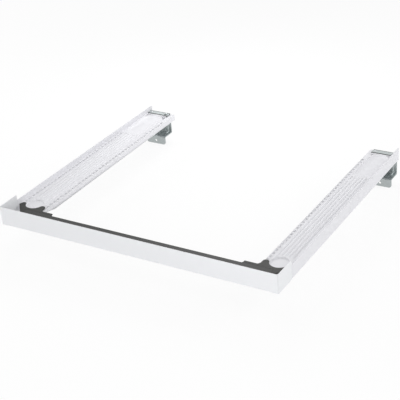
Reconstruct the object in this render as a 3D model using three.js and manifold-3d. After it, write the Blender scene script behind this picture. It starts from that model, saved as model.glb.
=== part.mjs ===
// Stacking kit that holds a tumble dryer on top of a washing machine.
// Millimetres, +X to the right, +Y to the back, +Z up. The origin is the middle of the fascia's
// bottom flange, on the plane of the washer's top.
import * as THREE from "three";
import { mergeVertices } from "three/addons/utils/BufferGeometryUtils.js";
import Module from "manifold-3d";

const wasm = await Module();
wasm.setup();

// Whole kit
const kitWidth = 596;
const kitDepth = 536;
const halfWidth = kitWidth / 2;
const seam = 0.3; // gap between pieces that touch
const overrun = 2; // how far a cutter runs past what it cuts
const roundSteps = 32; // sides of a full circle

// Front fascia: painted sheet steel, folded back at both ends
const fasciaHeight = 38.2;
const fasciaSheet = 1.2;
const wingDepth = 51;
const foldRadius = 2.8;
const flangeReach = 12;
const flangeEndGap = 14;
const studRadius = 2;
const studLength = 7.4;
const studCount = 4;
const studInset = 73; // of the outermost studs, from the fascia's ends
const studPitch = (kitWidth - 2 * studInset) / (studCount - 1);
const nutWidth = 7;
const nutHeight = 3.2;
const nutFlangeRadius = 4.6;
const nutFlangeHeight = 1;

// Crossmember: anthracite sheet steel behind the fascia
const plateTop = 18; // top of the crossmember and of the foot stops
const studRise = 6.5;
const studHeight = plateTop + studRise;
const crossSheet = 1.5;
const crossRearGap = 9.8; // its rear edge, in front of the fascia's wing ends
const crossRear = wingDepth - crossRearGap;
const crossFoot = 2; // height of its rear flange's lower edge
const upstandHeight = 12;
const upstandTop = plateTop + upstandHeight;
const bendRadius = 1; // inside radius of folds in thick sheet
const notchHalfPitch = 30;
const notchWidth = 4;
const notchDepth = 2.2;

// Dryer feet
const footInset = 31.1; // centre of a front foot, from the kit's side
const footCentre = halfWidth - footInset;
const railFrontGap = 0.6; // the rail, behind the fascia's wing end
const railFront = wingDepth + railFrontGap;
const footSetback = 15.2; // centre of a front foot, behind the rail's front end
const footFront = railFront + footSetback;
const footGrip = 18.4; // radius of the claws' arc
const recessStep = 0.4;
const recessRadius = footGrip - recessStep;
const recessDepth = 2.5;
const recessDraft = 1.4;

// Foot stops: anthracite mouldings whose claws wrap the dryer's front feet
const clawPlate = 2.5;
const stopInset = 26; // its end, from the kit's side
const stopWidth = 63.2;
const stopOuter = halfWidth - stopInset;
const stopInner = stopOuter - stopWidth;
const endLip = 4; // width of the stop's edge beside the crossmember's end
const crossHalf = stopOuter - endLip;
const stopFront = 4;
const stopOverhang = 6; // the stop, behind the crossmember
const bodyOverhang = 3.2; // its deep part, in front of the rail
const stopRear = crossRear + stopOverhang;
const stopBody = crossRear + bodyOverhang;
const stopWall = 2.2;
const stopRoof = 2.7;
const clawRootReach = 32.4;
const innerClawRoot = footCentre - clawRootReach;
const innerClawNeck = 5; // depth of the slope at the inner claw's root
const clawTipRadius = 6;
const innerClawTurn = -0.898 * Math.PI; // direction of the inner claw's tip from the foot
const outerTipRadius = 4.8;
const outerClawTurn = -0.108 * Math.PI;
const heelDrop = 12.5; // heel of the outer claw, in front of the foot's centre
const outerClawHeel = footFront - heelDrop;
const bevelDrop = 21.1;
const stopBevel = stopRear - bevelDrop; // where the slanted front corner meets the end
const bossRadius = 3.2;
const bossDepth = 7.5;
const bossWeb = 0.8; // claw plate left between a boss and the arc
const bossInnerTurn = -0.85 * Math.PI;
const bossOuterTurn = -0.16 * Math.PI;
const pilotRadius = 1.5;
const lidScrewInset = 14;
const lidScrewSetback = 20;

// Rails
const railWidth = 61.2;
const railInner = halfWidth - railWidth;
const tongueGap = 0.6; // between the tongue and the foot stop's deep part
const tongueFront = stopBody + tongueGap;
const tongueShoulder = 9.7;
const tongueInner = railInner + tongueShoulder;
const tongueInset = 14;
const tongueOuter = halfWidth - tongueInset;
const railFoot = 1.8; // underside, above the washer's top
const trayDrop = 1; // the tray, below the foot stops
const trayLevel = plateTop - trayDrop;
const ledgeDrop = 3;
const ledgeLevel = trayLevel - ledgeDrop;
const ledgeWidth = 10.4;
const stepDraft = 1.2;
const wallHeight = 11;
const wallTop = trayLevel + wallHeight;
const wallThickness = 2;
const edgeBevel = 0.7;
const dishInset = 27.5;
const dishCentre = halfWidth - dishInset;
const dishSetback = 41.6; // centre of the dish's round end, from the kit's rear
const dishRear = kitDepth - dishSetback;
const dishLength = 62.4;
const dishFront = dishRear - dishLength;
const dishRadius = 20.5;
const dishFloorRadius = 9;
const dishRamp = 24.5; // front end of the dish's floor, behind the rim's
const dishDepth = 3.6;
const dishSteps = 4; // between the dish's rim and its floor
const grooveCount = 5;
const groovePitch = 7.45;
const grooveWidth = 3.4;
const grooveDepth = 1.6;
const grooveSlopeShare = 0.75; // width of a groove's slanted side, of its depth
const grooveLead = 3.5;
const grooveFront = footFront + recessRadius + grooveLead;
const grooveTail = 4;
const grooveRear = dishFront - dishRadius - grooveTail;
const coreRadius = 3; // holes in the inner ledge
const wallCoreRadius = 2.3; // holes beside the wall
const coreDepth = 6.5;
const corePitch = 11.9;
const coreLead = 3.8;
const coreStart = footFront + coreLead;
const coreInset = 3.9; // core row, in from the rail's inner side and from its wall
const coreSides = 8;

// Rear brackets: zinc plated sheet steel
const bracketWidth = 49.6;
const bracketSheet = 2;
const rearGap = 2; // the bracket's wall, in front of the rail's rear end
const bracketWall = kitDepth - rearGap;
const plateDepth = 16;
const bracketFront = bracketWall - plateDepth;
const plateRise = 1; // the bracket's plate, above the tray
const bracketTop = trayLevel + plateRise;
const shelfLevel = -28.5;
const shelfReach = 31;
const tabHeight = 19.5;
const tabBottom = shelfLevel - tabHeight;
const tabCorner = 6;
const tabHoleRadius = 2.8;
const tabHoleDrop = 10;
const plateHoleSpread = 18;
const plateHoleSetback = 7;
const plateHoleRadius = 2.7;
const pegRadius = 2.2;
const drainRadius = 1.6;
const beadRadius = 2.2;
const beadLift = 0.5; // a bead's middle line, off the sheet's face
const beadSpread = 17;
const beadTop = -1.5;
const beadReach = 11; // its foot, forward along the shelf
const beadTip = 0.7; // radius at the foot's end
const beadRise = 6.5; // lower end of the groove behind it, above the shelf
const beadGroove = shelfLevel + beadRise;

// Hollows in the rails
const cupWall = 2.6;
const pocketFloor = 5;
const pocketWall = 2.4;
const pocketLead = 9;
const pocketFront = dishRear + pocketLead;
const pocketEnd = bracketFront - pocketWall;
const roofThickness = 3;
const hollowRoof = ledgeLevel - roofThickness;
const hollowInner = 9.4; // width of the inner edge beam
const hollowOuter = 10.6; // width of the outer edge beam
const hollowLead = 17.5;
const hollowFront = footFront + hollowLead;
const hollowRear = pocketFront - pocketWall;
const ribThickness = 2;
const ribPitch = 42;
const leadLength = 36;
const leadRise = 8;

// Pads under the rails
const padLength = 34;
const padWidth = 24;
const padThickness = 1.5;
const padCorner = 5;
const padRim = 2;
const padPlaces = [footFront + padWidth, (footFront + dishRear) / 2, dishRear - padLength];

// Screws
const screwHeadRadius = 3.4;
const screwHeadHeight = 1.9;
const screwShankRadius = 1.2;
const headCrownShare = 0.72; // top of a screw's head, of the head's radius
const screwTipShare = 0.6; // tip of a screw, of its shank's radius
const driveShare = 0.25; // width of a head's slot, of the head's radius
const lidScrewLength = 9;
const railScrewLength = 8;
const bracketScrewLength = 10;
const headRoom = 0.4; // between a sunk screw head and its seat's wall

const white = new THREE.MeshStandardMaterial({ color: 0xe9eaec, roughness: 0.42, metalness: 0 });
const whiteMoulding = new THREE.MeshStandardMaterial({ color: 0xe4e4e8, roughness: 0.5, metalness: 0 });
const anthracite = new THREE.MeshStandardMaterial({ color: 0x3a3a38, roughness: 0.55, metalness: 0 });
const zinc = new THREE.MeshStandardMaterial({ color: 0xa3aeb0, roughness: 0.35, metalness: 0.85 });
const rubber = new THREE.MeshStandardMaterial({ color: 0x2a2a2b, roughness: 0.85, metalness: 0 });
const blackSteel = new THREE.MeshStandardMaterial({ color: 0x2c2c2c, roughness: 0.45, metalness: 0.6 });

// A closed geometry as a solid that can be joined and cut.
function solid(geometry) {
  const bare = geometry.index ? geometry.toNonIndexed() : geometry.clone();
  bare.deleteAttribute("normal");
  bare.deleteAttribute("uv");
  const merged = mergeVertices(bare, seam / 1000);
  return new wasm.Manifold(
    new wasm.Mesh({
      numProp: 3,
      vertProperties: new Float32Array(merged.attributes.position.array),
      triVerts: new Uint32Array(merged.index.array),
    }),
  );
}

// A solid as a named mesh. side -1 mirrors it to the kit's left.
function meshOf(name, body, material, side = 1) {
  const made = body.getMesh();
  const points = Float32Array.from(made.vertProperties);
  const faces = Uint32Array.from(made.triVerts);
  if (side < 0) {
    for (let i = 0; i < points.length; i += 3) points[i] = -points[i];
    for (let i = 0; i < faces.length; i += 3) [faces[i], faces[i + 1]] = [faces[i + 1], faces[i]];
  }
  const geometry = new THREE.BufferGeometry();
  geometry.setAttribute("position", new THREE.BufferAttribute(points, 3));
  geometry.setIndex(new THREE.BufferAttribute(faces, 1));
  geometry.computeVertexNormals();
  const mesh = new THREE.Mesh(geometry, material);
  mesh.name = name;
  return mesh;
}

// A plan outline, raised from one height to another.
function upright(shape, low, high, steps = roundSteps / 4) {
  const geometry = new THREE.ExtrudeGeometry(shape, {
    depth: high - low,
    bevelEnabled: false,
    curveSegments: steps,
  });
  return solid(geometry.translate(0, 0, low));
}

// An outline drawn as (y, z), run along X.
function alongX(shape, start, end, steps = roundSteps / 4) {
  const geometry = new THREE.ExtrudeGeometry(shape, {
    depth: end - start,
    bevelEnabled: false,
    curveSegments: steps,
  });
  const turn = new THREE.Matrix4().set(0, 0, 1, start, 1, 0, 0, 0, 0, 1, 0, 0, 0, 0, 0, 1);
  return solid(geometry.applyMatrix4(turn));
}

// An outline drawn as (x, z), run along Y.
function alongY(shape, start, end, steps = roundSteps / 4) {
  const geometry = new THREE.ExtrudeGeometry(shape, {
    depth: end - start,
    bevelEnabled: false,
    curveSegments: steps,
  });
  const turn = new THREE.Matrix4().set(1, 0, 0, 0, 0, 0, -1, end, 0, 1, 0, 0, 0, 0, 0, 1);
  return solid(geometry.applyMatrix4(turn));
}

function block(left, right, front, back, low, high) {
  const geometry = new THREE.BoxGeometry(right - left, back - front, high - low);
  return solid(geometry.translate((left + right) / 2, (front + back) / 2, (low + high) / 2));
}

// An upright round bar.
function post(x, y, low, high, radius, sides = roundSteps / 2) {
  const geometry = new THREE.CylinderGeometry(radius, radius, high - low, sides);
  return solid(geometry.rotateX(Math.PI / 2).translate(x, y, (low + high) / 2));
}

// A round bar along Y.
function barY(x, z, front, back, radius, sides = roundSteps / 2) {
  const geometry = new THREE.CylinderGeometry(radius, radius, back - front, sides);
  return solid(geometry.translate(x, (front + back) / 2, z));
}

// A closed body through outlines of as many points each, from the lowest level to the highest.
function lofted(outlines, levels) {
  const count = outlines[0].length;
  const top = (outlines.length - 1) * count;
  const places = [];
  outlines.forEach((outline, i) => {
    outline.forEach((p) => places.push(p.x, p.y, levels[i]));
  });
  const faces = [];
  THREE.ShapeUtils.triangulateShape(outlines[0], []).forEach(([a, b, c]) => faces.push(c, b, a));
  THREE.ShapeUtils.triangulateShape(outlines.at(-1), []).forEach(([a, b, c]) => {
    faces.push(a + top, b + top, c + top);
  });
  for (let ring = 0; ring < top; ring += count) {
    for (let i = 0; i < count; i++) {
      const here = ring + i;
      const next = ring + ((i + 1) % count);
      faces.push(here, next, next + count, here, next + count, here + count);
    }
  }
  const geometry = new THREE.BufferGeometry();
  geometry.setAttribute("position", new THREE.Float32BufferAttribute(places, 3));
  geometry.setIndex(faces);
  return solid(geometry);
}

// Points of a slot with round ends, running in Y between two centres.
function slotPoints(x, front, back, radius, sides = roundSteps) {
  const half = sides / 2;
  const points = [];
  for (let i = 0; i <= half; i++) {
    const turn = (Math.PI * i) / half;
    points.push(new THREE.Vector2(x + radius * Math.cos(turn), back + radius * Math.sin(turn)));
  }
  for (let i = 0; i <= half; i++) {
    const turn = Math.PI + (Math.PI * i) / half;
    points.push(new THREE.Vector2(x + radius * Math.cos(turn), front + radius * Math.sin(turn)));
  }
  return points;
}

function circlePoints(x, y, radius, sides = roundSteps) {
  return Array.from({ length: sides }, (_, i) => {
    const turn = (2 * Math.PI * i) / sides;
    return new THREE.Vector2(x + radius * Math.cos(turn), y + radius * Math.sin(turn));
  });
}

function roundedRectangle(x, y, width, depth, corner) {
  const shape = new THREE.Shape();
  const [a, b] = [x - width / 2, x + width / 2];
  const [c, d] = [y - depth / 2, y + depth / 2];
  const quarter = Math.PI / 2;
  shape.absarc(b - corner, c + corner, corner, -quarter, 0);
  shape.absarc(b - corner, d - corner, corner, 0, quarter);
  shape.absarc(a + corner, d - corner, corner, quarter, Math.PI);
  shape.absarc(a + corner, c + corner, corner, Math.PI, 3 * quarter);
  return shape;
}

// Section of a folded sheet: corners of its middle line, its thickness, its inside bend radius.
function foldedSheet(corners, thickness, insideRadius, steps = 5) {
  const radius = insideRadius + thickness / 2;
  const path = [];
  corners.forEach((corner, i) => {
    const here = new THREE.Vector2(...corner);
    if (i === 0 || i === corners.length - 1) {
      const other = new THREE.Vector2(...corners[i === 0 ? 1 : i - 1]);
      const along = i === 0 ? other.sub(here) : here.clone().sub(other);
      path.push({ at: here, along: along.normalize() });
      return;
    }
    const before = here.clone().sub(new THREE.Vector2(...corners[i - 1])).normalize();
    const after = new THREE.Vector2(...corners[i + 1]).sub(here).normalize();
    const bend = Math.atan2(before.cross(after), before.dot(after));
    const setback = radius * Math.tan(Math.abs(bend) / 2);
    const start = here.clone().addScaledVector(before, -setback);
    const side = new THREE.Vector2(-before.y, before.x).multiplyScalar(Math.sign(bend));
    const centre = start.clone().addScaledVector(side, radius);
    for (let k = 0; k <= steps; k++) {
      const turn = (bend * k) / steps;
      const at = start.clone().rotateAround(centre, turn);
      path.push({ at, along: before.clone().rotateAround(new THREE.Vector2(), turn) });
    }
  });
  const edge = (sign) =>
    path.map(({ at, along }) => {
      const out = new THREE.Vector2(-along.y, along.x);
      return at.clone().addScaledVector(out, (sign * thickness) / 2);
    });
  return new THREE.Shape([...edge(-1), ...edge(1).reverse()]);
}

// Point at a distance from the dryer foot's centre, in a direction in radians.
function fromFoot(distance, turn) {
  return [footCentre + distance * Math.cos(turn), footFront + distance * Math.sin(turn)];
}

// Outline of a foot stop seen from above, on the right-hand side. grow opens it out.
function stopOutline(grow) {
  const outer = halfWidth - wallThickness - seam + grow;
  const [outerX, outerY] = fromFoot(footGrip + outerTipRadius, outerClawTurn);
  const [innerX, innerY] = fromFoot(footGrip + clawTipRadius, innerClawTurn);
  const shape = new THREE.Shape();
  shape.moveTo(stopInner - grow, stopFront);
  shape.lineTo(stopOuter + grow, stopFront);
  shape.lineTo(stopOuter + grow, stopBevel - grow);
  shape.lineTo(outer, outerClawHeel);
  shape.absarc(outerX, outerY, outerTipRadius + grow, 0, Math.PI + outerClawTurn);
  shape.absarc(footCentre, footFront, footGrip - grow, outerClawTurn, innerClawTurn, true);
  shape.absarc(innerX, innerY, clawTipRadius + grow, Math.PI + innerClawTurn, Math.PI);
  shape.lineTo(innerX - clawTipRadius - grow, stopRear + innerClawNeck);
  shape.lineTo(innerClawRoot - grow, stopRear + grow);
  shape.lineTo(stopInner - grow, stopRear + grow);
  shape.closePath();
  return shape;
}

const clawBosses = [
  fromFoot(footGrip + bossWeb + bossRadius, bossInnerTurn),
  fromFoot(footGrip + bossWeb + bossRadius, bossOuterTurn),
];

function makeFascia() {
  const middle = fasciaSheet / 2;
  const plan = foldedSheet(
    [
      [middle - halfWidth, wingDepth],
      [middle - halfWidth, middle],
      [halfWidth - middle, middle],
      [halfWidth - middle, wingDepth],
    ],
    fasciaSheet,
    foldRadius - fasciaSheet,
    6,
  );
  const flangeHalf = halfWidth - flangeEndGap;
  let body = upright(plan, 0, fasciaHeight);
  body = body.add(block(-flangeHalf, flangeHalf, 0, flangeReach, 0, fasciaSheet));
  for (let i = 0; i < studCount; i++) {
    body = body.add(barY(studPlace(i), studHeight, fasciaSheet / 2, fasciaSheet + studLength, studRadius));
  }
  return body;
}

function studPlace(i) {
  return studPitch * (i - (studCount - 1) / 2);
}

// A flange nut on a stud of the fascia, drawn up against the crossmember's upstand.
function makeNut(i) {
  const seat = fasciaSheet + seam + crossSheet + seam;
  const hexRadius = nutWidth / Math.sqrt(3);
  const x = studPlace(i);
  const flange = barY(x, studHeight, seat, seat + nutFlangeHeight, nutFlangeRadius);
  const hexagon = barY(x, studHeight, seat, seat + nutHeight, hexRadius, 6);
  const bore = barY(x, studHeight, seat - overrun, seat + nutHeight + overrun, studRadius + seam);
  return flange.add(hexagon).subtract(bore);
}

function makeCrossmember() {
  const middle = plateTop - crossSheet / 2;
  const front = fasciaSheet + seam + crossSheet / 2;
  const rear = crossRear - crossSheet / 2;
  const upstandAndLid = foldedSheet(
    [
      [front, upstandTop],
      [front, middle],
      [crossRear, middle],
    ],
    crossSheet,
    bendRadius,
  );
  const lidAndFlange = foldedSheet(
    [
      [crossRear / 2, middle],
      [rear, middle],
      [rear, crossFoot],
    ],
    crossSheet,
    bendRadius,
  );
  const flangeHalf = stopInner - crossSheet;
  const foldStart = rear - bendRadius - crossSheet / 2;
  let body = alongX(upstandAndLid, -crossHalf, crossHalf);
  body = body.subtract(
    block(-flangeHalf, flangeHalf, foldStart, crossRear + overrun, 0, plateTop + overrun),
  );
  body = body.add(alongX(lidAndFlange, -flangeHalf, flangeHalf));
  for (const side of [-1, 1]) {
    const notch = new THREE.Shape();
    notch.moveTo(side * notchHalfPitch, crossRear - notchDepth);
    notch.lineTo(side * notchHalfPitch + notchWidth / 2, crossRear + overrun);
    notch.lineTo(side * notchHalfPitch - notchWidth / 2, crossRear + overrun);
    body = body.subtract(upright(notch, plateTop - 2 * crossSheet, plateTop + overrun));
    for (const x of lidScrewPlaces()) {
      body = body.subtract(
        post(side * x, lidScrewSetback, middle - crossSheet, plateTop + overrun, screwShankRadius + seam),
      );
    }
  }
  for (let i = 0; i < studCount; i++) {
    body = body.subtract(
      barY(studPlace(i), studHeight, 0, front + crossSheet + overrun, studRadius + seam),
    );
  }
  return body;
}

function lidScrewPlaces() {
  return [stopInner + lidScrewInset, crossHalf - lidScrewInset];
}

// One foot stop: a deep hollow part under the crossmember, and the claw plate over the rail.
function makeFootStop() {
  const lidSeat = plateTop - crossSheet - seam;
  const clawUnder = plateTop - clawPlate;
  let body = upright(stopOutline(0), clawUnder, plateTop, 10);
  body = body.add(block(stopInner, stopOuter, stopFront, stopBody, crossFoot, clawUnder + clawPlate / 2));
  body = body.subtract(
    block(
      stopInner + stopWall,
      stopOuter - stopWall,
      stopFront + stopWall,
      stopBody - stopWall,
      crossFoot - overrun,
      lidSeat - stopRoof,
    ),
  );
  body = body.subtract(
    block(
      stopInner - overrun,
      crossHalf + seam,
      stopFront - overrun,
      crossRear + seam,
      lidSeat,
      plateTop + overrun,
    ),
  );
  for (const [x, y] of clawBosses) {
    body = body.add(post(x, y, clawUnder - bossDepth, clawUnder + clawPlate / 2, bossRadius));
    body = body.subtract(post(x, y, clawUnder - bossDepth - overrun, clawUnder - seam, pilotRadius));
  }
  for (const x of lidScrewPlaces()) {
    body = body.add(post(x, lidScrewSetback, crossFoot, lidSeat - stopRoof / 2, bossRadius));
    body = body.subtract(
      post(x, lidScrewSetback, lidSeat - lidScrewLength, lidSeat + overrun, pilotRadius),
    );
  }
  return body;
}

// Section of a rail, drawn as (x, z): wall, tray and inner ledge.
function railSection() {
  const wallInner = halfWidth - wallThickness;
  const ledgeEnd = railInner + ledgeWidth;
  const shape = new THREE.Shape();
  shape.moveTo(railInner, railFoot);
  shape.lineTo(halfWidth, railFoot);
  shape.lineTo(halfWidth, wallTop - edgeBevel);
  shape.lineTo(halfWidth - edgeBevel, wallTop);
  shape.lineTo(wallInner + edgeBevel / 2, wallTop);
  shape.lineTo(wallInner, wallTop - edgeBevel / 2);
  shape.lineTo(wallInner, trayLevel);
  shape.lineTo(ledgeEnd + stepDraft, trayLevel);
  shape.lineTo(ledgeEnd, ledgeLevel);
  shape.lineTo(railInner + edgeBevel, ledgeLevel);
  shape.lineTo(railInner, ledgeLevel - edgeBevel);
  shape.closePath();
  return shape;
}

// One groove of the tray, wider at the top, with sloped ends.
function makeGroove(x) {
  const outline = (inset) => {
    const half = grooveWidth / 2 - inset;
    return [
      new THREE.Vector2(x - half, grooveFront + inset),
      new THREE.Vector2(x + half, grooveFront + inset),
      new THREE.Vector2(x + half, grooveRear - inset),
      new THREE.Vector2(x - half, grooveRear - inset),
    ];
  };
  const slope = grooveDepth * grooveSlopeShare;
  const levels = [trayLevel - grooveDepth, trayLevel + grooveDepth];
  return lofted([outline(slope), outline(-slope)], levels);
}

// The underside's hollows between the edge beams, with ribs between them and solid pad seats.
function makeHollows() {
  const inner = railInner + hollowInner;
  const outer = halfWidth - hollowOuter;
  const middle = (inner + outer) / 2;
  const cells = Math.round((hollowRear - hollowFront) / ribPitch);
  const pitch = (hollowRear - hollowFront + ribThickness) / cells;
  let hollows = null;
  for (let i = 0; i < cells; i++) {
    const front = hollowFront + i * pitch;
    const back = front + pitch - ribThickness;
    for (const [left, right] of [
      [inner, middle - ribThickness / 2],
      [middle + ribThickness / 2, outer],
    ]) {
      const cell = block(left, right, front, back, railFoot - overrun, hollowRoof);
      hollows = hollows ? hollows.add(cell) : cell;
    }
  }
  const seatHalf = padWidth / 2 + padRim;
  for (const y of padPlaces) {
    const reach = padLength / 2 + padRim;
    hollows = hollows.subtract(
      block(padCentre() - seatHalf, padCentre() + seatHalf, y - reach, y + reach, 0, hollowRoof + overrun),
    );
  }
  return hollows;
}

function padCentre() {
  return (railInner + hollowInner + halfWidth - hollowOuter) / 2;
}

// Two rows of blind holes that core out the edge beams. The row by the wall ends at the dish.
function corePlaces() {
  const places = [];
  for (let y = coreStart; y <= dishRear; y += corePitch) {
    places.push([railInner + coreInset, y, ledgeLevel, coreRadius]);
    if (y <= grooveRear) {
      places.push([halfWidth - wallThickness - coreInset, y, trayLevel, wallCoreRadius]);
    }
  }
  return places;
}

// The long dish for a rear foot: a bowl that steepens to its rim, with a longer slope in front.
function makeDish() {
  const outlines = [];
  const levels = [];
  for (let i = dishSteps; i >= 0; i--) {
    const turn = (Math.PI / 2) * (i / dishSteps);
    const radius = dishFloorRadius + (dishRadius - dishFloorRadius) * Math.cos(turn);
    const front = dishFront + dishRamp * (1 - Math.cos(turn));
    outlines.push(slotPoints(dishCentre, front, dishRear, radius));
    levels.push(trayLevel - dishDepth * Math.sin(turn));
  }
  outlines.push(outlines.at(-1));
  levels.push(wallTop);
  return lofted(outlines, levels);
}

// The rear end: bracket deck, corner pockets beside the cup, and the gap for the bracket's wall.
function cutRearEnd(body) {
  const deckInner = bracketInner() - seam;
  const deckOuter = deckInner + bracketWidth + 2 * seam;
  const deck = bracketTop - bracketSheet - seam;
  const wallFront = bracketWall - bracketSheet - seam;
  const cup = dishRadius + cupWall;
  const ledgeEnd = railInner + ledgeWidth;
  let pockets = block(ledgeEnd, dishCentre + cup, pocketFront, pocketEnd, pocketFloor, wallTop);
  pockets = pockets.subtract(
    post(dishCentre, dishRear, pocketFloor - overrun, wallTop + overrun, cup, roundSteps),
  );
  const above = wallTop + overrun;
  const relief = new THREE.Shape();
  relief.moveTo(wallFront - bendRadius, deck + overrun);
  relief.lineTo(wallFront - bendRadius, deck);
  relief.lineTo(wallFront, deck - bendRadius);
  relief.lineTo(wallFront + overrun, deck - bendRadius);
  relief.lineTo(wallFront + overrun, deck + overrun);
  return body
    .subtract(alongX(relief, deckInner, deckOuter))
    .subtract(pockets)
    .subtract(block(deckInner, deckOuter, bracketFront - seam, kitDepth + overrun, deck, above))
    .subtract(block(deckInner, deckOuter, wallFront, kitDepth + overrun, railFoot - overrun, above));
}

function bracketInner() {
  return halfWidth - wallThickness - seam - bracketWidth;
}

function plateHolePlaces() {
  const middle = bracketInner() + bracketWidth / 2;
  return [middle - plateHoleSpread, middle + plateHoleSpread];
}

// One right-hand rail. pegHole says which of the bracket's two plate holes its peg fills.
function makeRail(pegHole) {
  const clawSeat = plateTop - clawPlate - seam;
  let body = alongY(railSection(), railFront, kitDepth);
  body = body.add(block(tongueInner, tongueOuter, tongueFront, railFront + overrun, railFoot, trayLevel));
  body = body.subtract(upright(stopOutline(seam), clawSeat, wallTop + overrun, 10));
  const recess = [
    circlePoints(footCentre, footFront, recessRadius - recessDraft),
    circlePoints(footCentre, footFront, recessRadius + recessDraft),
  ];
  body = body.subtract(lofted(recess, [trayLevel - recessDepth, trayLevel + recessDepth]));
  body = body.subtract(makeDish());
  const grooveMiddle = (railInner + ledgeWidth + halfWidth - 2 * coreInset - wallThickness) / 2;
  for (let i = 0; i < grooveCount; i++) {
    body = body.subtract(makeGroove(grooveMiddle + (i - (grooveCount - 1) / 2) * groovePitch));
  }
  for (const [x, y, top, radius] of corePlaces()) {
    body = body.subtract(post(x, y, top - coreDepth, top + overrun, radius, coreSides));
  }
  body = cutRearEnd(body).subtract(makeHollows());
  for (const [x, y] of clawBosses) {
    const bossEnd = plateTop - clawPlate - bossDepth;
    body = body.subtract(post(x, y, bossEnd - seam, wallTop, bossRadius + seam));
    body = body.subtract(post(x, y, railFoot - overrun, wallTop, screwShankRadius + seam));
    body = body.subtract(
      post(x, y, railFoot - overrun, railFoot + screwHeadHeight + headRoom, screwHeadRadius + headRoom),
    );
  }
  const lead = new THREE.Shape();
  lead.moveTo(railFront - overrun, railFoot - overrun);
  lead.lineTo(railFront + leadLength, railFoot - overrun);
  lead.lineTo(railFront + leadLength, railFoot);
  lead.lineTo(railFront - overrun, railFoot + leadRise);
  body = body.subtract(alongX(lead, railInner - overrun, clawBosses[0][0] - bossRadius - seam));
  const holes = plateHolePlaces();
  const pegY = bracketFront + plateHoleSetback;
  body = body.add(post(holes[pegHole], pegY, trayLevel - 2 * bracketSheet, bracketTop, pegRadius));
  return body.subtract(
    post(holes[1 - pegHole], pegY, trayLevel - bracketScrewLength - bracketSheet, wallTop, pilotRadius),
  );
}

// One rear bracket: plate on the rail, wall down behind the washer, shelf forward, screw tab.
function makeBracket() {
  const half = bracketSheet / 2;
  const left = bracketInner();
  const right = left + bracketWidth;
  const middle = (left + right) / 2;
  const tabFront = bracketWall - shelfReach;
  const side = foldedSheet(
    [
      [bracketFront, bracketTop - half],
      [bracketWall - half, bracketTop - half],
      [bracketWall - half, shelfLevel - half],
      [tabFront + half, shelfLevel - half],
      [tabFront + half, tabBottom],
    ],
    bracketSheet,
    bendRadius,
  );
  let body = alongX(side, left, right);
  for (const [corner, sign] of [
    [left, 1],
    [right, -1],
  ]) {
    const trim = new THREE.Shape();
    const centreX = corner + sign * tabCorner;
    trim.moveTo(corner - sign * overrun, tabBottom + tabCorner);
    for (let k = 0; k <= roundSteps / 4; k++) {
      const turn = (Math.PI / 2) * (k / (roundSteps / 4));
      trim.lineTo(
        centreX - sign * tabCorner * Math.cos(turn),
        tabBottom + tabCorner - tabCorner * Math.sin(turn),
      );
    }
    trim.lineTo(centreX, tabBottom - overrun);
    trim.lineTo(corner - sign * overrun, tabBottom - overrun);
    body = body.subtract(alongY(trim, tabFront - overrun, tabFront + bracketSheet + overrun));
  }
  const beadLine = bracketWall - bracketSheet - beadLift;
  const beadFoot = shelfLevel + beadLift;
  for (const x of [middle - beadSpread, middle + beadSpread]) {
    const foot = new THREE.CylinderGeometry(beadRadius, beadTip, beadReach, roundSteps / 2);
    foot.translate(x, beadLine - beadReach / 2, beadFoot);
    body = body.add(post(x, beadLine, beadFoot, beadTop, beadRadius)).add(solid(foot));
    body = body.subtract(
      post(x, bracketWall, beadGroove, beadTop - bracketSheet, beadRadius - half),
    );
  }
  const tabHole = shelfLevel - bracketSheet - tabHoleDrop;
  const plateY = bracketFront + plateHoleSetback;
  for (const x of plateHolePlaces()) {
    body = body.subtract(post(x, plateY, trayLevel - 2 * bracketSheet, wallTop, plateHoleRadius));
  }
  const shelfMiddle = (tabFront + bracketWall) / 2;
  return body
    .subtract(barY(middle, tabHole, tabFront - overrun, tabFront + bracketSheet + overrun, tabHoleRadius))
    .subtract(post(middle, shelfMiddle, shelfLevel - 2 * bracketSheet, shelfLevel + half, drainRadius));
}

// A pan head screw. up is 1 where the head is on top, -1 where it is driven from below.
function makeScrew(x, y, seat, length, up) {
  const headSides = roundSteps / 2;
  const head = new THREE.CylinderGeometry(
    screwHeadRadius * headCrownShare,
    screwHeadRadius,
    screwHeadHeight,
    headSides,
  );
  head.rotateX(Math.PI / 2).translate(0, 0, screwHeadHeight / 2);
  const shank = new THREE.CylinderGeometry(
    screwShankRadius,
    screwShankRadius * screwTipShare,
    length + screwHeadHeight / 2,
    headSides / 2,
  );
  shank.rotateX(Math.PI / 2).translate(0, 0, (screwHeadHeight / 2 - length) / 2);
  for (const geometry of [head, shank]) {
    if (up < 0) geometry.rotateX(Math.PI);
    geometry.translate(x, y, seat);
  }
  const driveHalf = (screwHeadRadius * driveShare) / 2;
  const drive = block(
    x - screwHeadRadius / 2,
    x + screwHeadRadius / 2,
    y - driveHalf,
    y + driveHalf,
    seat + (up > 0 ? screwHeadHeight / 2 : -screwHeadHeight - overrun),
    seat + (up > 0 ? screwHeadHeight + overrun : -screwHeadHeight / 2),
  );
  return solid(head).add(solid(shank)).subtract(drive);
}

function makePad(y) {
  const outline = roundedRectangle(padCentre(), y, padWidth, padLength, padCorner);
  return upright(outline, 0, padThickness, 4);
}

const kit = new THREE.Group();
kit.position.y = -flangeReach / 2;
kit.add(meshOf("front_fascia", makeFascia(), white));
kit.add(meshOf("crossmember", makeCrossmember(), anthracite));
for (let i = 0; i < studCount; i++) {
  kit.add(meshOf("fascia_nut_" + (i + 1), makeNut(i), zinc));
}

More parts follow.
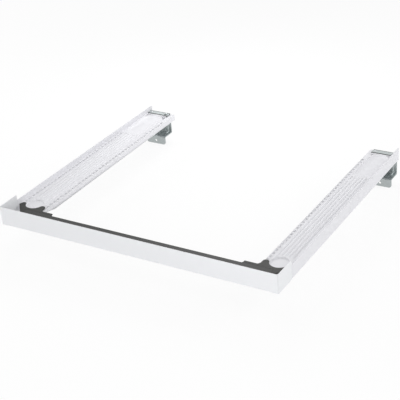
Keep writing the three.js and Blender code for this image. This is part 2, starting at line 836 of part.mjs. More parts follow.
const padNames = ["front", "middle", "rear"];
for (const [sideName, side] of [
  ["left", -1],
  ["right", 1],
]) {
  const put = (name, body, material) => kit.add(meshOf(sideName + "_" + name, body, material, side));
  // The same bracket is used on both sides, so each rail's peg is in the hole nearer the left.
  const pegHole = side < 0 ? 1 : 0;
  put("foot_stop", makeFootStop(), anthracite);
  put("rail", makeRail(pegHole), whiteMoulding);
  put("bracket", makeBracket(), zinc);
  padNames.forEach((padName, i) => put(padName + "_pad", makePad(padPlaces[i]), rubber));
  lidScrewPlaces().forEach((x, i) => {
    const seat = plateTop + seam;
    put("crossmember_screw_" + (i + 1), makeScrew(x, lidScrewSetback, seat, lidScrewLength, 1), blackSteel);
  });
  clawBosses.forEach(([x, y], i) => {
    const seat = railFoot + screwHeadHeight + headRoom - seam;
    put("foot_stop_screw_" + (i + 1), makeScrew(x, y, seat, railScrewLength, -1), zinc);
  });
  const screwX = plateHolePlaces()[1 - pegHole];
  const screwY = bracketFront + plateHoleSetback;
  put("bracket_screw", makeScrew(screwX, screwY, bracketTop + seam, bracketScrewLength, 1), zinc);
}

const root = new THREE.Group();
root.add(kit);
export default root;
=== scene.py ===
# A stacking kit that carries a tumble dryer on a washing machine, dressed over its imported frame.
import math

import bmesh
import bpy
from mathutils import Matrix, Vector


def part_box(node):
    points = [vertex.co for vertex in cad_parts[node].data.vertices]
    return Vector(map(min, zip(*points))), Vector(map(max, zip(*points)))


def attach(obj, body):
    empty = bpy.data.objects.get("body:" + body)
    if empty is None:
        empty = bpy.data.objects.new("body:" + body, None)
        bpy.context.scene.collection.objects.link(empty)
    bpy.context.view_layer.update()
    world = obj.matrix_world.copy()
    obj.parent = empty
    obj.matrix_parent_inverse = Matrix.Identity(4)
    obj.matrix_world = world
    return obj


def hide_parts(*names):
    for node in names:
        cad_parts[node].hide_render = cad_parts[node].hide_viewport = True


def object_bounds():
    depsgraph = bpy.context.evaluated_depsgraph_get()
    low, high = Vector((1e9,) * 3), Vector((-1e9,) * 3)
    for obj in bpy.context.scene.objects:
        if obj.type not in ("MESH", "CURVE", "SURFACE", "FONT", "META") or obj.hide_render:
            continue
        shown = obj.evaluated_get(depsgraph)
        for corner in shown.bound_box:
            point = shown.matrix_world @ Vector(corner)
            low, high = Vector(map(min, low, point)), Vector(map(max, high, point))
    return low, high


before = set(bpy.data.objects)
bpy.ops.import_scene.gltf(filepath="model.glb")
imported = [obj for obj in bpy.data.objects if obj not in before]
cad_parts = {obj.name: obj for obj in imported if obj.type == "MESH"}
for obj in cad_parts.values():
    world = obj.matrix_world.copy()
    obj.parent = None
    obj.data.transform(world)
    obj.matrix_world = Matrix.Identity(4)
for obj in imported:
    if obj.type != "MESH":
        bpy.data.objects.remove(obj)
cad_low, cad_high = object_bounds()
scene = bpy.context.scene
mm = 0.001
quarter_turn = math.radians(90)
half_turn = math.radians(180)


# Its place and turn were fitted to the straight edges in the photograph.
view_azimuth = math.radians(32.836)
view_elevation = math.radians(28.367)
view_roll = math.radians(-4.82)
view_distance = 2136.31 * mm
view_target = Vector((7.748, 227.291, 0)) * mm
image_width = 400
focal_pixels = 1095.67
sensor_width = 36
clip_distance = 50

forward = Vector(
    (
        -math.sin(view_azimuth) * math.cos(view_elevation),
        math.cos(view_azimuth) * math.cos(view_elevation),
        -math.sin(view_elevation),
    )
)
level_right = Vector((math.cos(view_azimuth), math.sin(view_azimuth), 0))
level_up = level_right.cross(forward)
camera_right = math.cos(view_roll) * level_right + math.sin(view_roll) * level_up
camera_up = math.cos(view_roll) * level_up - math.sin(view_roll) * level_right
camera_data = bpy.data.cameras.new("camera")
camera_data.sensor_width = sensor_width
camera_data.lens = sensor_width * focal_pixels / image_width
camera_data.clip_end = clip_distance
camera = bpy.data.objects.new("camera", camera_data)
scene.collection.objects.link(camera)
turn = Matrix((camera_right, camera_up, -forward)).transposed().to_4x4()
camera.matrix_world = Matrix.Translation(view_target - forward * view_distance) @ turn
scene.camera = camera


# The front fascia is a bar of 1.2 mm sheet steel, folded back round both front corners and under
# the crossmember, and powder coated white. Its folds and all its edges are rounded.
fascia_low, fascia_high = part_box("front_fascia")
fascia_sheet = 1.2 * mm
fascia_fold = 2.8 * mm
flange_fold = 1.8 * mm
flange_reach = 12 * mm
flange_end_gap = 14 * mm
fold_steps = 8
flange_fold_steps = 5
sheet_edge = 0.25 * mm
edge_steps = 2
edge_samples = 6
folded = math.radians(60)
round_profile = 0.5
paint_white = (0.81, 0.82, 0.84, 1)
# Share of the white that the front corner folds keep under their painted shade.
fold_shade_share = 0.86


class Wire:
    """A socket of a material's node. Sums and products of wires add the nodes that they need."""

    def __init__(self, socket):
        self.socket = socket

    def node(self, kind, settings, sockets, output=0):
        """Adds a node of any kind: first its settings, then its sockets' values or links."""
        tree = self.socket.id_data
        made = tree.nodes.new(kind)
        for name, value in settings.items():
            if name == "stops":
                ramp = made.color_ramp
                while len(ramp.elements) < len(value):
                    ramp.elements.new(0.5)
                for stop, (place, colour) in zip(ramp.elements, value):
                    stop.position = place
                    stop.color = colour
            else:
                setattr(made, name, value)
        for name, value in sockets.items():
            if isinstance(value, Wire):
                tree.links.new(value.socket, made.inputs[name])
            else:
                made.inputs[name].default_value = value
        return Wire(made.outputs[output])

    def maths(self, operation, *terms):
        return self.node("ShaderNodeMath", {"operation": operation}, dict(enumerate(terms)))

    def __add__(self, other):
        return self.maths("ADD", self, other)

    def __mul__(self, other):
        return self.maths("MULTIPLY", self, other)

    __radd__ = __add__
    __rmul__ = __mul__

    def size(self):
        """This wire's value without its sign."""
        return self.maths("ABSOLUTE", self)

    def highest(self, other):
        """The larger of two values."""
        return self.maths("MAXIMUM", self, other)

    def noise(self, scale, detail=2.0, roughness=0.5):
        """Cloudy noise at this wire's places, with so many clouds to the metre."""
        sockets = {"Vector": self, "Scale": scale, "Detail": detail, "Roughness": roughness}
        return self.node("ShaderNodeTexNoise", {}, sockets)

    def stretched(self, x, y, z):
        """This wire's places, with a pattern on them drawn out along the small factors."""
        return self.node("ShaderNodeMapping", {}, {"Vector": self, "Scale": (x, y, z)})

    def axis(self, letter):
        """One coordinate of this wire's places, in metres."""
        return self.node("ShaderNodeSeparateXYZ", {}, {"Vector": self}, "XYZ".index(letter))

    def share(self, zero, one):
        """Where this wire's value lies between two others, held between 0 and 1."""
        sockets = {"Value": self, "From Min": zero, "From Max": one}
        return self.node("ShaderNodeMapRange", {"clamp": True}, sockets)

    def blend(self, first, second):
        """A colour between two, by this wire's value."""
        sockets = {0: self, 6: first, 7: second}
        return self.node("ShaderNodeMix", {"data_type": "RGBA"}, sockets, 2)


class Finish:
    """A surface finish: its even values sit on the shader, and varying ones are wired to it."""

    def __init__(self, name, **even):
        self.material = bpy.data.materials.new(name)
        self.material.use_nodes = True
        self.tree = self.material.node_tree
        self.shader = self.tree.nodes["Principled BSDF"]
        for socket, value in even.items():
            self.shader.inputs[socket.replace("_", " ")].default_value = value
        coordinates = self.tree.nodes.new("ShaderNodeTexCoord")
        self.place = Wire(coordinates.outputs["Object"])

    def vary(self, socket, wire):
        self.tree.links.new(wire.socket, self.shader.inputs[socket])

    def relief(self, height, depth, edge=0):
        """Bumps the surface by a height wire, 1 at a relief's top, and softens sharp edges."""
        sockets = {"Height": height, "Distance": depth}
        if edge:
            settings = {"samples": edge_samples}
            sockets["Normal"] = height.node("ShaderNodeBevel", settings, {"Radius": edge})
        self.vary("Normal", height.node("ShaderNodeBump", {}, sockets))


def tinted(colour, share):
    """A colour made lighter or darker by a share of itself."""
    return tuple(min(1, part * share) for part in colour[:3]) + (1,)


white_paint = Finish("white_paint", IOR=1.5)
clouds = white_paint.place.noise(9, 3)
peel = white_paint.place.noise(330, 2)
dust = white_paint.place.noise(2600, 2)
# The front corners' folds are painted darker, most at the middle of each bend: a painted shade on
# the bends.
fold_side = fascia_high.x - fascia_fold
outward = white_paint.place.axis("X").size()
round_side = outward.share(fold_side, fascia_high.x)
round_front = white_paint.place.axis("Y").share(fascia_low.y + fascia_fold, fascia_low.y)
painted_fold_shade = 2 * round_side * round_front
coat = clouds.blend(tinted(paint_white, 0.975), tinted(paint_white, 1.02))
fold_shaded_paint = tinted(paint_white, fold_shade_share)
white_paint.vary("Base Color", painted_fold_shade.blend(coat, fold_shaded_paint))
white_paint.vary("Roughness", 0.34 + 0.1 * clouds + 0.08 * dust)
white_paint.relief(0.85 * peel + 0.15 * dust, 0.05 * mm)


def start_piece(name):
    """Names the object just added, and opens its mesh with nothing selected."""
    piece = bpy.context.object
    piece.name = name
    piece.data.name = name
    bpy.ops.object.mode_set(mode="EDIT")
    bpy.ops.mesh.select_all(action="DESELECT")
    return piece


def pick(piece, kind, wanted):
    """Selects the edges or faces whose middle, and normal if faces, pass a test."""
    bpy.ops.mesh.select_all(action="DESELECT")
    bpy.ops.mesh.select_mode(type={"edges": "EDGE", "faces": "FACE"}[kind])
    mesh = bmesh.from_edit_mesh(piece.data)
    for part in getattr(mesh, kind):
        corners = [v.co for v in part.verts]
        middle = piece.matrix_world @ (sum(corners, Vector()) / len(corners))
        passes = wanted(middle, part.normal) if kind == "faces" else wanted(middle)
        part.select_set(bool(passes))
    mesh.select_flush_mode()
    bmesh.update_edit_mesh(piece.data)


slack = 0.01 * mm
level_share = 0.9  # least share of Z in the normal of a face that counts as level


def near(a, b, reach=slack):
    return abs(a - b) < reach


def apply_modifier(piece, kind, **settings):
    """Adds a modifier with its settings and applies it to the mesh."""
    modifier = piece.modifiers.new(kind, kind)
    for name, value in settings.items():
        setattr(modifier, name, value)
    bpy.ops.object.modifier_apply(modifier=modifier.name)


def round_edges(piece, width, sharp_from, **settings):
    """Rounds the edges where the surface turns by an angle or more."""
    apply_modifier(
        piece,
        "BEVEL",
        width=width,
        segments=edge_steps,
        limit_method="ANGLE",
        angle_limit=sharp_from,
        **settings,
    )


def settle(piece):
    """Leaves edit mode, and puts the piece's place, turn and scale into its mesh."""
    bpy.context.view_layer.objects.active = piece
    bpy.ops.object.mode_set(mode="OBJECT")
    bpy.ops.object.select_all(action="DESELECT")
    piece.select_set(True)
    bpy.ops.object.transform_apply(location=True, rotation=True, scale=True)


smooth_below = math.radians(35)
face_weight = 80


def finish_piece(piece, finish):
    """Settles the piece, smooths its rounds, and gives it its finish, slot and body."""
    settle(piece)
    bpy.ops.object.shade_smooth_by_angle(angle=smooth_below)
    apply_modifier(piece, "WEIGHTED_NORMAL", keep_sharp=True, weight=face_weight)
    piece.data.materials.clear()
    piece.data.materials.append(finish.material)
    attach(piece, "root")


fascia_width = fascia_high.x - fascia_low.x
fascia_height = fascia_high.z - fascia_low.z
bpy.ops.object.select_all(action="DESELECT")
bpy.ops.mesh.primitive_plane_add(
    size=1,
    location=(0, fascia_low.y, fascia_low.z + fascia_height / 2),
    rotation=(quarter_turn, 0, 0),
)
fascia = start_piece("fascia_bar")
bpy.ops.mesh.select_all(action="SELECT")
bpy.ops.transform.resize(value=(fascia_width, 1, fascia_height))
for side in (-1, 1):
    pick(fascia, "faces", lambda middle, normal: True)
    bpy.ops.mesh.bisect(
        plane_co=(side * (fascia_width / 2 - flange_end_gap), 0, 0), plane_no=(1, 0, 0)
    )
for side in (-1, 1):
    pick(fascia, "edges", lambda middle: near(middle.x, side * fascia_width / 2))
    bpy.ops.mesh.extrude_region_move(
        TRANSFORM_OT_translate={"value": (0, fascia_high.y - fascia_low.y, 0)}
    )
    pick(
        fascia,
        "edges",
        lambda middle: near(middle.x, side * fascia_width / 2) and near(middle.y, fascia_low.y),
    )
    bpy.ops.mesh.bevel(
        offset=fascia_fold, offset_type="OFFSET", segments=fold_steps, profile=round_profile
    )
pick(
    fascia,
    "edges",
    lambda middle: near(middle.z, fascia_low.z) and near(middle.x, 0, flange_reach),
)
bpy.ops.mesh.extrude_region_move(TRANSFORM_OT_translate={"value": (0, flange_reach, 0)})
pick(
    fascia,
    "edges",
    lambda middle: near(middle.z, fascia_low.z)
    and near(middle.x, 0)
    and near(middle.y, fascia_low.y),
)
bpy.ops.mesh.bevel(
    offset=flange_fold, offset_type="OFFSET", segments=flange_fold_steps, profile=round_profile
)
bpy.ops.mesh.select_all(action="SELECT")
bpy.ops.mesh.normals_make_consistent(inside=False)
bpy.ops.object.mode_set(mode="OBJECT")
apply_modifier(fascia, "SOLIDIFY", thickness=fascia_sheet, offset=-1, use_even_offset=True)
round_edges(fascia, sheet_edge, folded)
finish_piece(fascia, white_paint)
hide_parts("front_fascia")


# Four M4 studs are welded to the fascia's inner face, and a flange nut on each draws the
# crossmember's upstand up against it. Studs and nuts are zinc plated steel.
stud_radius = 1.95 * mm
stud_root = 1.7 * mm
stud_pitch = 0.7 * mm
weld_radius = 2.9 * mm
weld_height = 0.5 * mm
weld_round = 0.4 * mm
weld_steps = 3
nut_across = 7 * mm
nut_bore = 2.1 * mm
nut_chamfer = 0.5 * mm
nut_flange_height = 1 * mm
nut_sides = 48
flange_sides = 40
flange_rim_share = 0.6
rim_from = 0.9  # share of a radius past which an edge or a corner is on the rim
stud_high = 8.6 * mm
thread_steps = 16
ridge_height = 1.5  # of a three-sided ring, over its radius
shank_sides = 20
zinc_bright = (0.46, 0.485, 0.485, 1)

fastener_zinc = Finish("fastener_zinc", Metallic=1.0)
wear = fastener_zinc.place.noise(700, 3)
fastener_zinc.vary("Base Color", wear.blend(tinted(zinc_bright, 0.8), tinted(zinc_bright, 1.15)))
fastener_zinc.vary("Roughness", 0.24 + 0.22 * wear)
fastener_zinc.relief(wear, 0.01 * mm)


def join_pieces(main, *others):
    """Makes one object of a piece and what is fixed to it."""
    bpy.ops.object.select_all(action="DESELECT")
    for piece in (main, *others):
        piece.select_set(True)
    bpy.context.view_layer.objects.active = main
    bpy.ops.object.join()
    return main


def make_thread(root, crest, pitch, low, high):
    """An upright screw thread: a three-sided ridge that climbs round the Z axis."""
    ridge = (crest - root) / ridge_height
    middle = (root + ridge / 2, 0, low)
    bpy.ops.mesh.primitive_circle_add(
        vertices=3, radius=ridge, location=middle, rotation=(quarter_turn, 0, 0)
    )
    thread = start_piece("thread")
    bpy.ops.mesh.select_all(action="SELECT")
    bpy.ops.transform.rotate(value=quarter_turn, orient_axis="Y", center_override=middle)
    settle(thread)
    apply_modifier(
        thread,
        "SCREW",
        axis="Z",
        screw_offset=pitch,
        iterations=max(1, int((high - low) / pitch)),
        steps=thread_steps,
        render_steps=thread_steps,
        use_normal_calculate=True,
    )
    bpy.ops.object.mode_set(mode="EDIT")
    bpy.ops.mesh.select_all(action="SELECT")
    bpy.ops.mesh.fill_holes(sides=3)
    bpy.ops.mesh.normals_make_consistent(inside=False)
    bpy.ops.object.mode_set(mode="OBJECT")
    return thread


def make_shank(root, crest, pitch, low, high):
    """An upright threaded bar with a chamfered upper end."""
    bpy.ops.mesh.primitive_cylinder_add(
        vertices=shank_sides, radius=root, depth=high - low, location=(0, 0, (low + high) / 2)
    )
    shank = start_piece("shank")
    pick(shank, "faces", lambda middle, normal: normal.z > level_share)
    bpy.ops.mesh.bevel(offset=root / 3, segments=1)
    settle(shank)
    return join_pieces(shank, make_thread(root, crest, pitch, low, high - root / 2))


def copy_piece(model, name, move, finish, slot, *nodes):
    """Copies a model piece with its mesh into a place, in the stead of CAD nodes if any."""
    piece = bpy.data.objects.new(name, model.data.copy())
    piece.data.name = name
    piece.data.transform(move)
    scene.collection.objects.link(piece)
    finish_piece(piece, finish)
    if nodes:
        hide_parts(*nodes)


bpy.ops.object.select_all(action="DESELECT")
stud_model = make_shank(stud_root, stud_radius, stud_pitch, fascia_sheet / 2, stud_high)
bpy.ops.mesh.primitive_cylinder_add(
    vertices=shank_sides,
    radius=weld_radius,
    depth=weld_height,
    location=(0, 0, fascia_sheet + weld_height / 2),
)
weld = start_piece("weld")
pick(weld, "faces", lambda middle, normal: normal.z > level_share)
bpy.ops.mesh.bevel(offset=weld_round, segments=weld_steps)
settle(weld)
join_pieces(stud_model, weld)


def hexagon_radius(turn, across):
    """How far a hexagon's side lies from its middle in a direction."""
    sixth = math.radians(60)
    return across / 2 / math.cos((turn + sixth / 2) % sixth - sixth / 2)


nut_low, nut_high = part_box("fascia_nut_1")
nut_height = nut_high.y - nut_low.y
nut_flange_radius = (nut_high.x - nut_low.x) / 2
bpy.ops.mesh.primitive_cylinder_add(
    vertices=nut_sides, radius=nut_across, depth=nut_height, location=(0, 0, nut_height / 2)
)
nut_model = start_piece("nut")
pick(nut_model, "faces", lambda middle, normal: True)
bpy.ops.mesh.bisect(plane_co=(0, 0, nut_height - nut_chamfer), plane_no=(0, 0, 1))
pick(nut_model, "faces", lambda middle, normal: abs(normal.z) > level_share)
bpy.ops.mesh.inset(thickness=nut_across / 4)
shape = bmesh.from_edit_mesh(nut_model.data)
for corner in shape.verts:
    turn = math.atan2(corner.co.y, corner.co.x)
    reach = hexagon_radius(turn, nut_across)
    if corner.co.xy.length < nut_across * rim_from:
        reach = nut_bore
    elif corner.co.z > nut_height / 2 - nut_chamfer / 2:
        reach = min(reach, nut_across / 2 + nut_chamfer / 8)
    corner.co.x = reach * math.cos(turn)
    corner.co.y = reach * math.sin(turn)
bmesh.update_edit_mesh(nut_model.data)
pick(
    nut_model,
    "faces",
    lambda middle, normal: abs(normal.z) > level_share and middle.xy.length < nut_bore / 2,
)
bpy.ops.mesh.bridge_edge_loops()
bpy.ops.mesh.select_all(action="SELECT")
bpy.ops.mesh.normals_make_consistent(inside=False)
settle(nut_model)
bpy.ops.mesh.primitive_cylinder_add(
    vertices=flange_sides,
    radius=nut_flange_radius,
    depth=nut_flange_height,
    location=(0, 0, nut_flange_height / 2),
)
flange = start_piece("flange")
pick(flange, "faces", lambda middle, normal: normal.z > level_share)
bpy.ops.mesh.inset(thickness=nut_flange_radius - nut_across / 2)
pick(
    flange,
    "faces",
    lambda middle, normal: abs(normal.z) > level_share and middle.xy.length < slack,
)
bpy.ops.mesh.inset(thickness=nut_across / 2 - nut_bore)
pick(flange, "edges", lambda middle: middle.xy.length > nut_flange_radius * rim_from)
bpy.ops.transform.resize(value=(1, 1, flange_rim_share), center_override=(0, 0, 0))
settle(flange)
join_pieces(nut_model, flange)

stud_turn = Matrix.Rotation(-quarter_turn, 4, "X")
for number in range(1, 5):
    low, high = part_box(f"fascia_nut_{number}")
    middle = (low + high) / 2
    onto_bar = Matrix.Translation((middle.x, fascia_low.y, middle.z)) @ stud_turn
    onto_upstand = Matrix.Translation((middle.x, low.y, middle.z)) @ stud_turn
    copy_piece(stud_model, f"fascia_stud_{number}", onto_bar, fastener_zinc, "zinc_plated_steel")
    copy_piece(
        nut_model,
        f"flange_nut_{number}",
        onto_upstand,
        fastener_zinc,
        "zinc_plated_steel",
        f"fascia_nut_{number}",
    )


# The crossmember is 1.5 mm sheet steel, folded up behind the fascia and down at its rear edge. It
# is powder coated anthracite, with the fine grain of a textured powder.
coat_anthracite = (0.038, 0.038, 0.0365, 1)
thick_sheet_edge = 0.25 * mm
same_place = 0.002 * mm
flat_below = math.radians(0.5)
creased = math.radians(30)


def rounded_copy(node, name, radius, finish):
    """Copies a CAD node. Given a radius, it joins flat facets and rounds the sharp edges."""
    piece = bpy.data.objects.new(name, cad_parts[node].data.copy())
    scene.collection.objects.link(piece)
    bpy.ops.object.select_all(action="DESELECT")
    piece.select_set(True)
    bpy.context.view_layer.objects.active = piece
    bpy.ops.object.mode_set(mode="EDIT")
    bpy.ops.mesh.select_all(action="SELECT")
    bpy.ops.mesh.remove_doubles(threshold=same_place)
    if radius:
        bpy.ops.mesh.dissolve_limited(angle_limit=flat_below)
        bpy.ops.mesh.quads_convert_to_tris(quad_method="BEAUTY", ngon_method="BEAUTY")
    bpy.ops.object.mode_set(mode="OBJECT")
    if radius:
        round_edges(piece, radius, creased, use_clamp_overlap=False)
    finish_piece(piece, finish)
    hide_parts(node)


anthracite_coat = Finish("anthracite_coat", IOR=1.5, Specular_IOR_Level=0.3)
powder = anthracite_coat.place.noise(1300, 3, 0.6)
cloud = anthracite_coat.place.noise(14, 3)
tone = 0.6 * powder + 0.4 * cloud
anthracite_coat.vary(
    "Base Color", tone.blend(tinted(coat_anthracite, 0.8), tinted(coat_anthracite, 1.25))
)
anthracite_coat.vary("Roughness", 0.4 + 0.2 * powder + 0.08 * cloud)
anthracite_coat.relief(powder, 0.08 * mm)
rounded_copy(
    "crossmember", "crossmember_sheet", thick_sheet_edge, anthracite_coat
)


# A foot stop stands under each end of the crossmember. It is moulded in glass-filled nylon, dyed
# anthracite, and its two claws wrap the front half of the dryer's foot.
nylon_anthracite = (0.034, 0.034, 0.032, 1)
moulded_edge = 0.35 * mm

claw_nylon = Finish("claw_nylon", IOR=1.52, Specular_IOR_Level=0.3)
fibres = claw_nylon.place.stretched(1, 0.25, 1).noise(1600, 3, 0.65)
flow = claw_nylon.place.noise(60, 3)
pebble = claw_nylon.place.node(
    "ShaderNodeTexVoronoi", {"feature": "F1"}, {"Vector": claw_nylon.place, "Scale": 1500}
)
tone = 0.5 * fibres + 0.5 * flow
claw_nylon.vary(
    "Base Color", tone.blend(tinted(nylon_anthracite, 0.82), tinted(nylon_anthracite, 1.3))
)
claw_nylon.vary("Roughness", 0.42 + 0.18 * flow + 0.1 * fibres)
claw_nylon.relief(0.5 * pebble + 0.5 * fibres, 0.05 * mm)
for hand in ("left", "right"):
    rounded_copy(
        hand + "_foot_stop", hand + "_claw_block", moulded_edge, claw_nylon
    )


# Two blackened pan head screws hold each end of the crossmember down on its foot stop. They have
# domed heads with a cross recess, and a cutting thread that is hidden in the moulding.
head_radius = 3.4 * mm
head_height = 1.9 * mm
head_dome = 1.1 * mm
head_chamfer = head_height / 10
head_sides = 32
dome_steps = 6
recess_reach = 1.7 * mm
recess_arm = 0.95 * mm
recess_depth = 1.2 * mm
recess_floor_share = 0.55
arm_half_turn = math.radians(11)
arm_end_turn = math.radians(12)
arm_side_turn = math.radians(33)
thread_root = 0.95 * mm
thread_crest = 1.35 * mm
thread_pitch = 1.1 * mm
lid_screw_length = 8.8 * mm
lid_screw_turn = math.radians(25)
steel_black = (0.028, 0.028, 0.03, 1)


def make_screw(length):
    """A pan head screw that points down, with its head's seat at the origin."""
    bpy.ops.mesh.primitive_cylinder_add(
        vertices=head_sides,
        radius=head_radius,
        depth=head_height,
        location=(0, 0, head_height / 2),
    )
    head = start_piece("head")
    pick(head, "edges", lambda middle: near(middle.z, head_height))
    bpy.ops.mesh.bevel(offset=head_dome, segments=dome_steps, profile=round_profile)
    pick(head, "faces", lambda middle, normal: normal.z > level_share and middle.xy.length < slack)
    bpy.ops.mesh.inset(thickness=head_radius - head_dome - recess_reach)
    # The ring's corners go to the ends of the cross's arms, or in along the arms' sides.
    shape = bmesh.from_edit_mesh(head.data)
    for corner in [v for v in shape.verts if v.select]:
        turn = math.atan2(corner.co.y, corner.co.x)
        quarter = round(turn / quarter_turn) * quarter_turn
        aside = turn - quarter
        spread = min(1, max(0, (abs(aside) - arm_end_turn) / arm_side_turn))
        along = recess_reach + (recess_arm / 2 - recess_reach) * spread
        across = math.copysign(min(abs(aside) / arm_half_turn, 1) * recess_arm / 2, aside)
        corner.co.x = along * math.cos(quarter) - across * math.sin(quarter)
        corner.co.y = along * math.sin(quarter) + across * math.cos(quarter)
    bmesh.update_edit_mesh(head.data)
    bpy.ops.mesh.extrude_region_move(TRANSFORM_OT_translate={"value": (0, 0, -recess_depth)})
    bpy.ops.transform.resize(
        value=(recess_floor_share, recess_floor_share, 1), center_override=(0, 0, 0)
    )
    pick(head, "edges", lambda middle: near(middle.z, 0))
    bpy.ops.mesh.bevel(offset=head_chamfer, segments=1)
    settle(head)
    shank = make_shank(thread_root, thread_crest, thread_pitch, 0, length)
    shank.data.transform(Matrix.Rotation(half_turn, 4, "X"))
    return join_pieces(head, shank)


screw_black = Finish("screw_black", Metallic=0.75)
wear = screw_black.place.noise(900, 3)
screw_black.vary("Base Color", wear.blend(tinted(steel_black, 0.7), tinted(steel_black, 1.8)))
screw_black.vary("Roughness", 0.3 + 0.25 * wear)
screw_black.relief(wear, 0.01 * mm)

lid_screw_model = make_screw(lid_screw_length)
for hand in ("left", "right"):
    for number in (1, 2):
        node = f"{hand}_crossmember_screw_{number}"
        low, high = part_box(node)
        middle = (low + high) / 2
        seat = Matrix.Translation((middle.x, middle.y, high.z - head_height))
        place = seat @ Matrix.Rotation(lid_screw_turn * number, 4, "Z")
        name = f"{hand}_lid_screw_{number}"
        copy_piece(lid_screw_model, name, place, screw_black, "black_screw", node)


# The rails are white mouldings that the dryer's feet stand on, with ribs and hollows below. A
# spark-eroded mould has left them finely matt, with faint flow marks along their length.
moulding_white = (0.78, 0.78, 0.81, 1)
rail_edge = 0.45 * mm

rail_plastic = Finish("rail_plastic", IOR=1.49)
grain = rail_plastic.place.noise(1700, 2, 0.6)
flow = rail_plastic.place.stretched(1, 0.12, 1).noise(55, 3)
tone = 0.7 * flow + 0.3 * grain
rail_plastic.vary(
    "Base Color", tone.blend(tinted(moulding_white, 0.975), tinted(moulding_white, 1.015))
)
rail_plastic.vary("Roughness", 0.42 + 0.12 * grain + 0.1 * flow)
rail_plastic.relief(0.8 * grain + 0.2 * flow, 0.035 * mm, rail_edge)
for hand in ("left", "right"):
    rounded_copy(hand + "_rail", hand + "_rail_moulding", 0, rail_plastic)


# Two zinc plated screws come up through each rail into the claws' bosses, with their heads sunk
# in the rail's underside.
rail_screw_length = 7.8 * mm

rail_screw_model = make_screw(rail_screw_length)
for hand in ("left", "right"):
    for number in (1, 2):
        node = f"{hand}_foot_stop_screw_{number}"
        low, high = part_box(node)
        middle = (low + high) / 2
        seat = Matrix.Translation((middle.x, middle.y, low.z + head_height))
        place = seat @ Matrix.Rotation(half_turn, 4, "X")
        name = f"{hand}_claw_screw_{number}"
        copy_piece(rail_screw_model, name, place, fastener_zinc, "zinc_plated_steel", node)


# Each is moulded with round corners, a soft rim and shallow treads across its underside.
pad_corner = 5 * mm
pad_corner_steps = 8
pad_rim = 0.3 * mm
tread_count = 6
tread_depth = 0.25 * mm
tread_wall_share = 1 / 8
rubber_black = (0.03, 0.03, 0.031, 1)

pad_rubber = Finish("pad_rubber", IOR=1.5)
grit = pad_rubber.place.noise(2200, 3, 0.7)
pad_rubber.vary("Base Color", grit.blend(tinted(rubber_black, 0.8), tinted(rubber_black, 1.5)))
pad_rubber.vary("Roughness", 0.72 + 0.2 * grit)
pad_rubber.relief(grit, 0.06 * mm)

low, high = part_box("left_front_pad")
pad_size = high - low
bpy.ops.mesh.primitive_cube_add(size=1, location=(0, 0, pad_size.z / 2))
pad_model = start_piece("pad")
bpy.ops.mesh.select_all(action="SELECT")
bpy.ops.transform.resize(value=pad_size)
for tread in range(1, 2 * tread_count):
    pick(pad_model, "faces", lambda middle, normal: True)
    place = pad_size.y * (tread / (2 * tread_count) - 0.5)
    bpy.ops.mesh.bisect(plane_co=(0, place, 0), plane_no=(0, 1, 0))
tread_pitch = pad_size.y / tread_count
pick(
    pad_model,
    "faces",
    lambda middle, normal: normal.z < -level_share
    and abs(middle.y) < pad_size.y / 2 - tread_pitch / 2
    and (middle.y + pad_size.y / 2) % tread_pitch > tread_pitch / 2,
)
bpy.ops.mesh.inset(thickness=tread_pitch * tread_wall_share, use_individual=True)
bpy.ops.transform.translate(value=(0, 0, tread_depth))
pick(
    pad_model,
    "edges",
    lambda middle: near(abs(middle.x), pad_size.x / 2)
    and near(abs(middle.y), pad_size.y / 2)
    and near(middle.z, pad_size.z / 2),
)
bpy.ops.mesh.bevel(offset=pad_corner, segments=pad_corner_steps, profile=round_profile)
settle(pad_model)
round_edges(pad_model, pad_rim, folded)
for hand in ("left", "right"):
    for row in ("front", "middle", "rear"):
        node = f"{hand}_{row}_pad"
        low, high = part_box(node)
        middle = (low + high) / 2
        place = Matrix.Translation((middle.x, middle.y, low.z))
        copy_piece(pad_model, f"{hand}_{row}_foot_pad", place, pad_rubber, "black_rubber", node)


# A bracket of 2 mm zinc plated steel hooks over each rail's rear end, runs down behind the washer
# and forward under its top, and ends in a tab for a screw. One screw holds it to the rail.
bracket_edge = 0.3 * mm
zinc_pale = (0.49, 0.53, 0.53, 1)
zinc_dull = (0.37, 0.4, 0.4, 1)
# Colour, width and blur of the plate's bare cut edge, with the painted shade beside it and on the
# rear fold.
bare_steel_and_shade = (0.12, 0.126, 0.126, 1)
edge_shade_width = 1 * mm
edge_shade_blur = 0.5 * mm
sheet_blur = 0.2 * mm
plate_depth = 16 * mm
plate_sheet = 2 * mm
plate_fold = 3 * mm
plate_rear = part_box("right_bracket")[1]
plate_screw_length = 9.8 * mm
plate_screw_turn = math.radians(40)

bracket_zinc = Finish("bracket_zinc", Metallic=1.0)
cloud = bracket_zinc.place.noise(45, 4, 0.6)
spangle = bracket_zinc.place.node(
    "ShaderNodeTexVoronoi", {"feature": "F1"}, {"Vector": bracket_zinc.place, "Scale": 420}, 1
)
rolling = bracket_zinc.place.stretched(1, 0.03, 0.03).noise(2600, 2, 0.7)
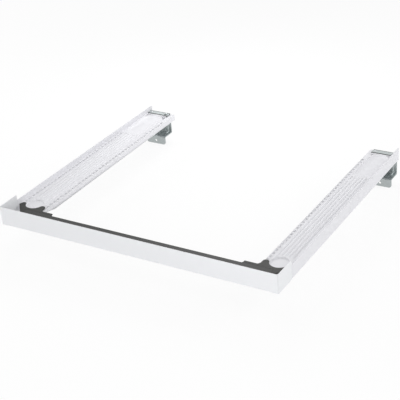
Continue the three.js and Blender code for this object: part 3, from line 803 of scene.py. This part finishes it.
# The plate is coloured dark along its front edge and in its rear fold. The cut edge is bare steel,
# and the band also paints the shadow in the gap before the plate and painted shade on the fold.
back = bracket_zinc.place.axis("Y")
height = bracket_zinc.place.axis("Z")
plate_under = plate_rear.z - plate_sheet
above = height.share(plate_under - sheet_blur, plate_under)
front_shade_end = plate_rear.y - plate_depth + edge_shade_width
front_edge = back.share(front_shade_end + edge_shade_blur, front_shade_end)
fold_start = plate_rear.y - plate_fold - edge_shade_width
rear_fold = back.share(fold_start - edge_shade_blur, fold_start)
painted_edge_shade = above * front_edge.highest(rear_fold)
coated = (0.75 * cloud + 0.25 * spangle).blend(zinc_dull, zinc_pale)
bracket_zinc.vary("Base Color", painted_edge_shade.blend(coated, bare_steel_and_shade))
bracket_zinc.vary("Roughness", 0.26 + 0.16 * cloud + 0.1 * rolling)
bracket_zinc.relief(0.7 * rolling + 0.3 * cloud, 0.012 * mm)
bracket_screw_model = make_screw(plate_screw_length)
for hand in ("left", "right"):
    rounded_copy(
        hand + "_bracket", hand + "_bracket_sheet", bracket_edge, bracket_zinc
    )
    node = hand + "_bracket_screw"
    low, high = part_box(node)
    middle = (low + high) / 2
    seat = Matrix.Translation((middle.x, middle.y, high.z - head_height))
    place = seat @ Matrix.Rotation(plate_screw_turn, 4, "Z")
    name = hand + "_plate_screw"
    copy_piece(bracket_screw_model, name, place, fastener_zinc, "zinc_plated_steel", node)

for model in (
    stud_model,
    nut_model,
    lid_screw_model,
    rail_screw_model,
    pad_model,
    bracket_screw_model,
):
    bpy.data.objects.remove(model)


floor_size = 12
floor_tone = 0.96
shadow_share = 0.12
bpy.ops.mesh.primitive_plane_add(size=floor_size, location=(0, 0, cad_low.z))
floor = bpy.context.object
floor.name = "floor"
floor_finish = Finish("floor", Base_Color=(floor_tone, floor_tone, floor_tone, 1), Roughness=1.0)


def seen_directly(tree):
    """A wire that is 1 for the camera's view and for what is seen in or through a surface."""
    path = tree.nodes.new("ShaderNodeLightPath")
    seen, glossy, through = (
        Wire(path.outputs[f"Is {kind} Ray"]) for kind in ("Camera", "Glossy", "Transmission")
    )
    return seen.highest(glossy).highest(through)


seen = seen_directly(floor_finish.tree)
glow = seen.node("ShaderNodeEmission", {}, {"Color": (1, 1, 1, 1), "Strength": 1.0})
matt = Wire(floor_finish.shader.outputs["BSDF"])
mixed = seen.node("ShaderNodeMixShader", {}, {0: (1 - shadow_share) * seen, 1: matt, 2: glow})
floor_output = floor_finish.tree.nodes["Material Output"]
floor_finish.tree.links.new(mixed.socket, floor_output.inputs["Surface"])
floor.data.materials.append(floor_finish.material)


tent_strength = 0.5
lamps = (
    ("rear_lamp", (1.6, 1.6, 1.2), 1.2, 8.6),
    ("right_lamp", (2.6, 0.8, 0.9), 2.2, 10.6),
    ("front_lamp", (1.0, -1.9, 1.1), 1.2, 18.5),
    ("low_lamp", (1.1, -2.0, 0.3), 0.9, 5.5),
    ("left_lamp", (-2.2, 0.3, 1.0), 1.2, 14.5),
    ("corner_lamp", (-0.3, 0.9, 0.6), 0.4, 2.6),
)
world = bpy.data.worlds.new("world")
scene.world = world
world.use_nodes = True
background = world.node_tree.nodes["Background"]
background.inputs["Color"].default_value = (1, 1, 1, 1)
strength = tent_strength + (1 - tent_strength) * seen_directly(world.node_tree)
world.node_tree.links.new(strength.socket, background.inputs["Strength"])
kit_middle = (cad_low + cad_high) / 2
for name, place, size, power in lamps:
    lamp = bpy.data.lights.new(name, "AREA")
    lamp.size = size
    lamp.energy = power
    holder = bpy.data.objects.new(name, lamp)
    scene.collection.objects.link(holder)
    aim = (kit_middle - Vector(place)).to_track_quat("-Z", "Y").to_matrix().to_4x4()
    holder.matrix_world = Matrix.Translation(place) @ aim

scene.view_settings.view_transform = "Standard"
